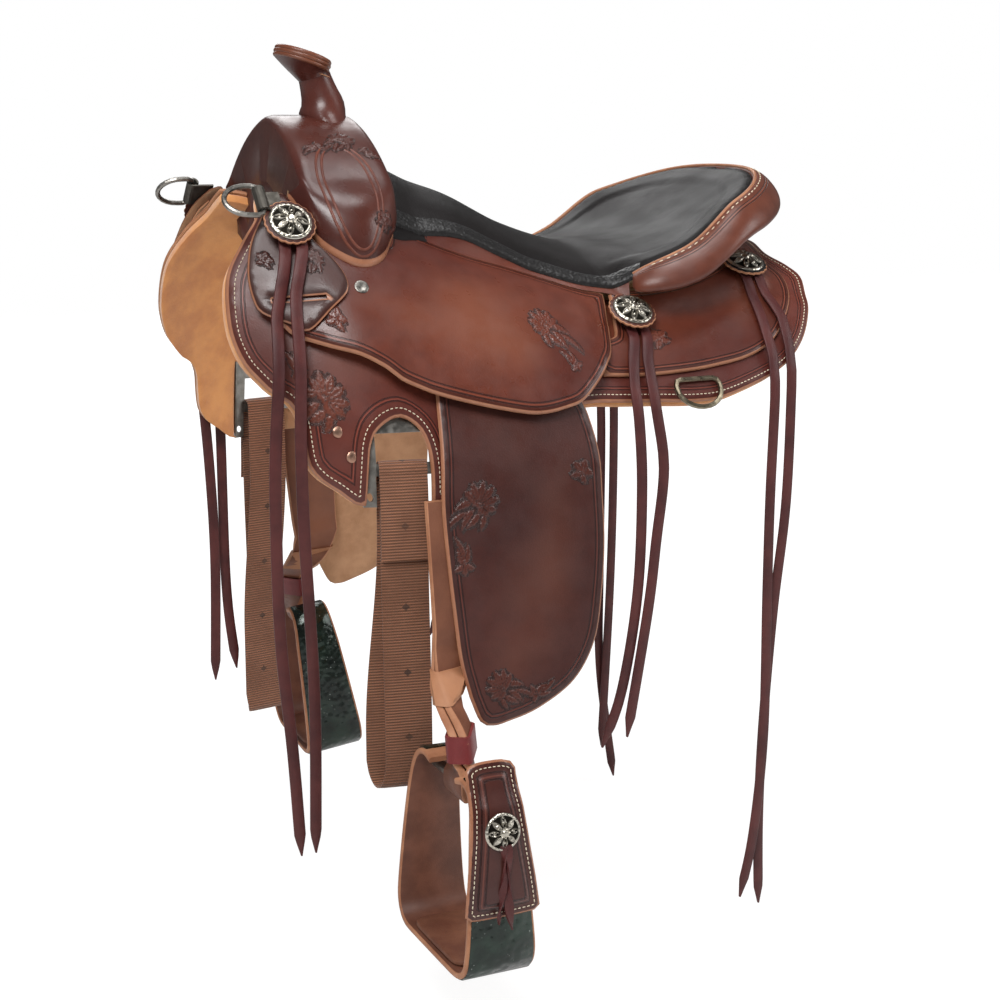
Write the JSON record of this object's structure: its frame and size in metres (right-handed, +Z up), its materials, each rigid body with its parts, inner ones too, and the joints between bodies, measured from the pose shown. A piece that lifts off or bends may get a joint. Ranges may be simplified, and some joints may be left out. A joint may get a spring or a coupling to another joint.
{
  "type": "trail saddle",
  "caption": "Western trail saddle with a padded seat, swell fork and horn, skirts, swinging fenders and stirrups, hanging latigos, dees and saddle strings.",
  "frame": {"origin": "on the centre plane, at the middle of the horse's back that the saddle sits on", "axes": "-X to the front of the saddle, -Y to the near (left) side, +Z up"},
  "size_m": [0.6187, 0.7778, 0.8821],
  "materials": {
    "skirt_leather": "oiled chestnut leather, semi-gloss",
    "dark_leather": "dark oiled leather, semi-gloss",
    "seat_leather": "black padded seat leather, soft sheen",
    "raw_leather": "undyed tan leather, matt",
    "wool": "tan skirt lining with a short nap",
    "string_leather": "burgundy latigo leather, semi-gloss",
    "webbing": "brown ribbed nylon webbing",
    "tree_wood": "plain sealed wood",
    "steel": "brushed stainless steel",
    "antique_silver": "antiqued silver plate",
    "brass": "aged brass",
    "stirrup_metal": "dark hammered enamel"
  },
  "bodies": {
    "saddle": {"tree_bar_left": "tree_wood", "tree_bar_right": "tree_wood", "tree_fork": "tree_wood", "tree_cantle": "tree_wood", "ground_seat": "tree_wood", "seat": "seat_leather", "cantle_roll": "dark_leather", "cantle_back": "skirt_leather", "fork_cover": "dark_leather", "horn_core": "steel", "horn_wrap": "dark_leather", "horn_cap": "dark_leather", "skirt_left": "skirt_leather", "skirt_right": "skirt_leather", "skirt_lining_left": "wool", "skirt_lining_right": "wool", "rigging_plate_left": "steel", "rigging_plate_right": "steel", "seat_jockey_left": "skirt_leather", "seat_jockey_right": "skirt_leather", "front_jockey_left": "dark_leather", "front_jockey_right": "dark_leather", "rear_jockey_left": "skirt_leather", "rear_jockey_right": "skirt_leather", "front_concho_left": "antique_silver", "front_concho_right": "antique_silver", "mid_concho_left": "antique_silver", "mid_concho_right": "antique_silver", "rear_concho_left": "antique_silver", "rear_concho_right": "antique_silver", "front_strings_left": "string_leather", "front_strings_right": "string_leather", "mid_strings_left": "string_leather", "mid_strings_right": "string_leather", "rear_strings_left": "string_leather", "rear_strings_right": "string_leather", "dee_clip_left": "steel", "dee_clip_right": "steel"},
    "leg_left": {"fender_left": "dark_leather", "stirrup_leather_left": "raw_leather", "hobble_strap_left": "string_leather", "stirrup_bolt_left": "steel"},
    "leg_right": {"fender_right": "dark_leather", "stirrup_leather_right": "raw_leather", "hobble_strap_right": "string_leather", "stirrup_bolt_right": "steel"},
    "foot_left": {"stirrup_left": "stirrup_metal", "stirrup_tread_left": "skirt_leather", "stirrup_cover_left": "dark_leather", "stirrup_concho_left": "antique_silver"},
    "foot_right": {"stirrup_right": "stirrup_metal", "stirrup_tread_right": "skirt_leather", "stirrup_cover_right": "dark_leather", "stirrup_concho_right": "antique_silver"},
    "cinch_strap_left": {"latigo_left": "webbing"},
    "cinch_strap_right": {"latigo_right": "webbing"},
    "front_ring_left": {"breast_dee_left": "steel"},
    "front_ring_right": {"breast_dee_right": "steel"},
    "back_ring_left": {"rear_dee_left": "brass"},
    "back_ring_right": {"rear_dee_right": "brass"}
  },
  "joints": [
    {"name": "fender_swing_left", "type": "hinge", "parent": "saddle", "child": "leg_left", "pos_m": [-0.15, -0.20567, -0.0849], "axis": [0, 0.922, -0.3872], "range_deg": [-10, 20]},
    {"name": "fender_swing_right", "type": "hinge", "parent": "saddle", "child": "leg_right", "pos_m": [-0.15, 0.20567, -0.0849], "axis": [0, 0.922, 0.3872], "range_deg": [-1, 29]},
    {"name": "stirrup_swing_left", "type": "hinge", "parent": "leg_left", "child": "foot_left", "pos_m": [-0.192, -0.303, -0.408], "axis": [0, 1, 0], "range_deg": [-40, 60]},
    {"name": "stirrup_swing_right", "type": "hinge", "parent": "leg_right", "child": "foot_right", "pos_m": [-0.13899, 0.30394, -0.41025], "axis": [0.0606, 0.9982, 0.0044], "range_deg": [-40, 60]},
    {"name": "latigo_swing_left", "type": "hinge", "parent": "saddle", "child": "cinch_strap_left", "pos_m": [-0.208, -0.20448, -0.14084], "axis": [0.9831, -0.1829, 0], "range_deg": [0, 35]},
    {"name": "latigo_swing_right", "type": "hinge", "parent": "saddle", "child": "cinch_strap_right", "pos_m": [-0.208, 0.20448, -0.14084], "axis": [-0.9831, -0.1829, 0], "range_deg": [0, 35]},
    {"name": "breast_dee_swing_left", "type": "hinge", "parent": "saddle", "child": "front_ring_left", "pos_m": [-0.305, -0.11607, 0.09649], "axis": [0, 0.6917, 0.7222], "range_deg": [0, 80]},
    {"name": "breast_dee_swing_right", "type": "hinge", "parent": "saddle", "child": "front_ring_right", "pos_m": [-0.305, 0.11607, 0.09649], "axis": [0, 0.6917, -0.7222], "range_deg": [0, 80]},
    {"name": "rear_dee_swing_left", "type": "hinge", "parent": "saddle", "child": "back_ring_left", "pos_m": [0.099, -0.20309, -0.07749], "axis": [-1, 0, 0], "range_deg": [0, 80]},
    {"name": "rear_dee_swing_right", "type": "hinge", "parent": "saddle", "child": "back_ring_right", "pos_m": [0.099, 0.20309, -0.07749], "axis": [1, 0, 0], "range_deg": [0, 80]}
  ]
}
